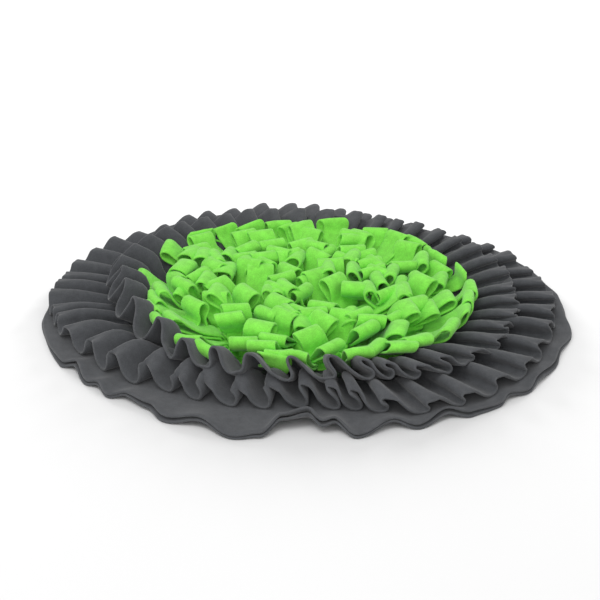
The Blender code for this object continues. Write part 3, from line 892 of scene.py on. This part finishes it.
def settled_loops(frill):
    """points[loop, column, row] of the strips, settled among each other and on the inner frill."""
    rng = np.random.default_rng(LOOP_SEED)
    centre, angle = pack_loops()
    share = centre / PILE_RADIUS
    rim = (share**2).sum(axis=1)
    reach_round = np.array(PILE_REACH)
    toward = np.degrees(np.arctan2(centre[:, 1], centre[:, 0])) % 360
    farther = np.interp(toward, *reach_round.T, period=360) - MIDDLE_REACH
    length = LOOP_LENGTH + LENGTH_FOR_REACH * farther * rim
    length += rng.uniform(-LOOP_LENGTH_SPREAD, LOOP_LENGTH_SPREAD, LOOPS)
    width = np.linspace(-0.5, 0.5, LOOP_ROWS) * STRIP_WIDTH
    axis = np.stack([np.cos(angle), np.sin(angle)], axis=1)
    across = np.stack([-axis[:, 1], axis[:, 0]], axis=1)
    points = np.zeros((LOOPS, LOOP_COLUMNS, LOOP_ROWS, 3))
    for loop in range(LOOPS):
        out, up = loop_outline(length[loop])
        lean = OUTWARD_LEAN * share[loop] * math.sqrt(rim[loop])
        lean *= 1 + MORE_LEAN_BEHIND * max(share[loop, 1], 0)
        flatten = 1 / math.hypot(1, np.linalg.norm(lean))
        place = centre[loop] + np.outer(out, across[loop]) + np.outer(up * flatten, lean)
        points[loop, :, :, :2] = place[:, None] + np.outer(width, axis[loop])[None]
        points[loop, :, :, 2] = SEWN_HEIGHT + up[:, None] * flatten

    sewn = np.zeros(points.shape[:3], bool)
    sewn[:, :SEWN_COLUMNS] = True
    sewn[:, -SEWN_COLUMNS:] = True
    turn = rng.uniform(0, 2 * math.pi, LOOPS)
    pull = np.stack([np.cos(turn), np.sin(turn)], axis=1) + OUTWARD_PULL * share
    side = np.sign((across * pull).sum(axis=1))[:, None]
    fall = (side * across + ASKEW * pull) * (LOOP_FALL * rng.uniform(LEAST_FALL, 1.0, LOOPS))[:, None]
    start = rng.uniform(0, FALL_TIME, LOOPS)
    held = np.minimum(np.arange(LOOP_COLUMNS), np.arange(LOOP_COLUMNS)[::-1]) / (LOOP_COLUMNS / 2)

    own_reach = rng.uniform(-REACH_SPREAD, REACH_SPREAD, LOOPS)[:, None, None]
    own_top = rng.uniform(-TOP_SPREAD, TOP_SPREAD, LOOPS)[:, None, None]

    def confine(cloth, progress):
        falling = (progress >= start) & (progress < start + FALL_TIME)
        nudge = fall * falling[:, None] / (FALL_TIME * LOOP_STEPS)
        cloth[..., :2] += nudge[:, None, None, :] * held[None, :, None, None]
        cloth[..., 2] -= GRAVITY * (progress > SINKS_FROM)
        behind = np.clip(cloth[..., 1] / PILE_RADIUS, 0, 1)
        lowered = (PILE_TOP_FALL + BACK_TOP_FALL * behind) * min(progress / PRESSED_AT, 1)
        highest = PILE_TOP + own_top - lowered
        cloth[..., 2] -= PRESS * np.maximum(cloth[..., 2] - highest, 0)
        cloth[..., 2] = np.maximum(cloth[..., 2], SEWN_HEIGHT + LEAST_RISE)
        radius = np.hypot(cloth[..., 0], cloth[..., 1])
        azimuth = np.degrees(np.arctan2(cloth[..., 1], cloth[..., 0])) % 360
        reach = np.interp(azimuth, *reach_round.T, period=360) + own_reach
        cloth[..., :2] *= (1 - REACH_PRESS * np.maximum(radius - reach, 0) / radius)[..., None]
        cloth[sewn] = points[sewn]

    near_frill = frill[np.hypot(frill[..., 0], frill[..., 1]) < PILE_NEIGHBOURHOOD]
    return settle(points, near_frill, sewn, False, LOOP_BEND_RADIUS, LOOP_STEPS, confine)


def backing():
    """The hidden round cloth under the loops, as one more grid."""
    azimuth = np.arange(BACKING_SEGMENTS) * 2 * math.pi / BACKING_SEGMENTS
    radius = np.array([*BACKING_RINGS, BACKING_RADIUS - CLOTH / 2])
    x = radius[None, :] * np.cos(azimuth)[:, None]
    y = radius[None, :] * np.sin(azimuth)[:, None]
    return np.stack([x, y, np.full_like(x, SEWN_HEIGHT)], axis=-1)[None]


def pile_piece(loops, cloth_material, edge_highlight_material):
    fine = twice_as_fine(loops[:, :, ::2], axis=1, closed=False)
    vertices, quads, cut = cloth_shell(fine, closed=False)
    disc_vertices, disc_quads, disc_cut = cloth_shell(backing(), closed=True)
    piece = mesh_piece(
        "loop_pile_fleece",
        np.concatenate([vertices, disc_vertices]),
        np.concatenate([quads, disc_quads + len(vertices)]),
        np.concatenate([cut, disc_cut]),
        cloth_material,
        edge_highlight_material,
    )
    dress(piece, "loop_pile")
    return piece


# What stands round the mat.


def floor():
    mesh = bpy.data.meshes.new("floor")
    corners = [(x * FLOOR_REACH, y * FLOOR_REACH, 0) for x, y in ((-1, -1), (1, -1), (1, 1), (-1, 1))]
    mesh.from_pydata(corners, [], [(0, 1, 2, 3)])
    plane = bpy.data.objects.new("floor", mesh)
    bpy.context.scene.collection.objects.link(plane)
    material = bpy.data.materials.new("floor_white")
    material.use_nodes = True
    shader = material.node_tree.nodes["Principled BSDF"]
    shader.inputs["Base Color"].default_value = FLOOR_WHITE
    shader.inputs["Roughness"].default_value = 0.9
    shader.inputs["Specular IOR Level"].default_value = 0.1
    mesh.materials.append(material)
    return plane


def area_light(name, place, size, power):
    data = bpy.data.lights.new(name, "AREA")
    data.shape = "DISK"
    data.size = size
    data.energy = power
    light = bpy.data.objects.new(name, data)
    light.location = place
    light.rotation_mode = "QUATERNION"
    light.rotation_quaternion = Vector(place).to_track_quat("Z", "Y")
    light.visible_camera = False
    bpy.context.scene.collection.objects.link(light)
    return light


def studio(floor_plane):
    """Even light from all sides, a softbox over the mat and a fill from the front that leaves the floor out.
    Low lights from behind fall on the floor alone, so that the mat throws a soft shadow forward.
    """
    world = bpy.data.worlds.new("studio")
    world.use_nodes = True
    background = world.node_tree.nodes["Background"]
    background.inputs["Color"].default_value = (1.0, 1.0, 1.0, 1.0)
    background.inputs["Strength"].default_value = WORLD_STRENGTH
    bpy.context.scene.world = world
    receivers = {"all": None}
    for name, state in (("all_but_floor", "EXCLUDE"), ("floor_only", "INCLUDE")):
        receivers[name] = bpy.data.collections.new(name)
        receivers[name].objects.link(floor_plane)
        receivers[name].collection_objects[0].light_linking.link_state = state
    for name, falls_on, place, size, power in LIGHTS:
        light = area_light(name, place, size, power)
        light.light_linking.receiver_collection = receivers[falls_on]
    bpy.context.scene.view_settings.view_transform = "Standard"


def camera():
    data = bpy.data.cameras.new("camera")
    data.sensor_width = SENSOR
    data.lens = SENSOR * CAMERA_DISTANCE / PICTURE_WIDTH
    middle = PICTURE_PIXELS / 2
    data.shift_x = (middle - MIDDLE_PIXEL[0]) / PICTURE_PIXELS
    data.shift_y = (MIDDLE_PIXEL[1] - middle) / PICTURE_PIXELS
    taker = bpy.data.objects.new("camera", data)
    back = Vector((0.0, -math.cos(CAMERA_ELEVATION), math.sin(CAMERA_ELEVATION)))
    taker.location = CAMERA_DISTANCE * back
    taker.rotation_mode = "QUATERNION"
    taker.rotation_quaternion = back.to_track_quat("Z", "Y")
    bpy.context.scene.collection.objects.link(taker)
    bpy.context.scene.camera = taker


def main():
    camera()
    studio(floor())
    charcoal = fleece("charcoal_fleece", CHARCOAL)
    # Paler copies of each fleece for the cut edges: a painted highlight.
    charcoal_edge_highlight = fleece("charcoal_cut_edge_painted_highlight", CHARCOAL_EDGE_HIGHLIGHT)
    lime = fleece("lime_fleece", LIME)
    lime_edge_highlight = fleece("lime_cut_edge_painted_highlight", LIME_EDGE_HIGHLIGHT)

    round_cloth("base_cloth", charcoal, charcoal_edge_highlight)
    round_cloth("top_cloth", charcoal, charcoal_edge_highlight)
    outer = settled_frill("outer_frill", np.zeros((0, 3)))
    frill_piece("outer_frill", outer, charcoal, charcoal_edge_highlight)
    inner = settled_frill("inner_frill", outer.reshape(-1, 3))
    frill_piece("inner_frill", inner, charcoal, charcoal_edge_highlight)
    pile_piece(settled_loops(inner), lime, lime_edge_highlight)


main()
